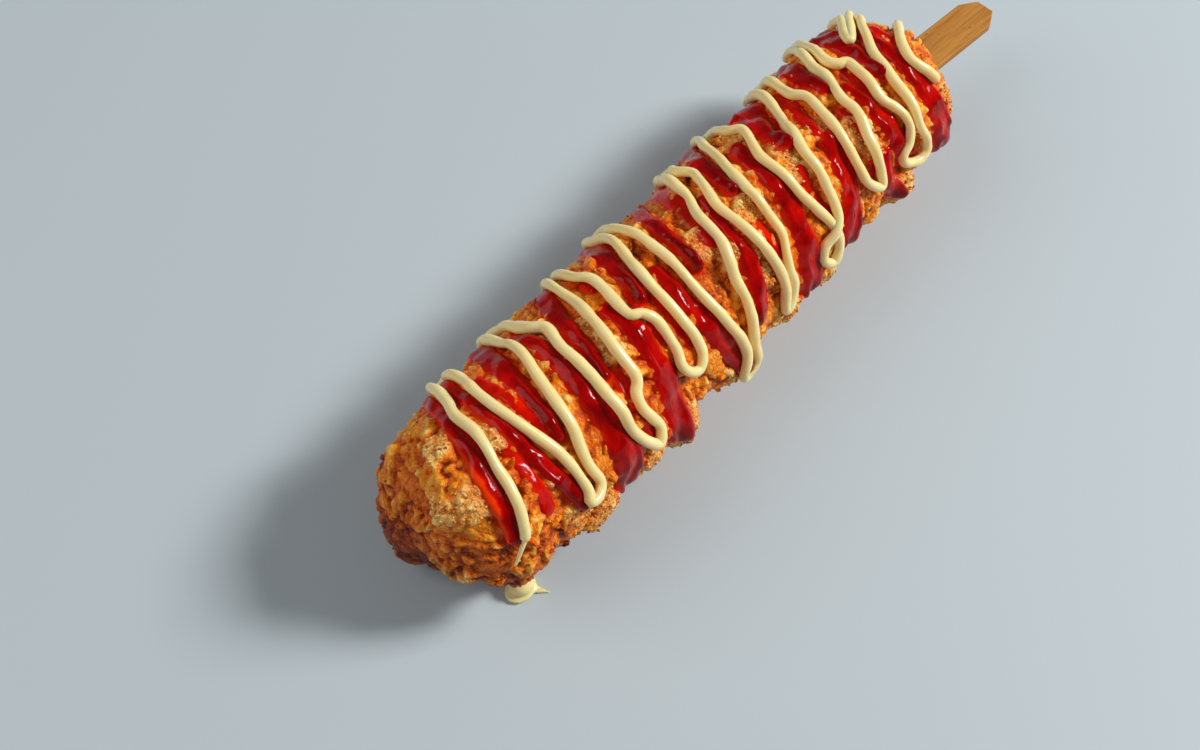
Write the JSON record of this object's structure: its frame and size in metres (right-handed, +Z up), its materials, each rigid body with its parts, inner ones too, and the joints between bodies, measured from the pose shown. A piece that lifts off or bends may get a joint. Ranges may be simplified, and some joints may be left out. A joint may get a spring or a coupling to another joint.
{
  "type": "corn dog",
  "caption": "Corn dog in a rough golden crumb crust on a flat wooden stick, lying on its side under streaks of ketchup and a zigzag line of mayonnaise.",
  "frame": {"origin": "middle of the flat underside that the body rests on, half way along the crust", "axes": "+X along the body from the rounded tip towards the stick, +Z up, sauced side up"},
  "size_m": [0.2436, 0.0526, 0.05],
  "materials": {
    "crust": "matte",
    "ketchup": "gloss",
    "mayonnaise": "satin",
    "wood": "matte"
  },
  "bodies": {
    "root": {"crusted_dog": "crust", "stick": "wood"}
  },
  "joints": []
}
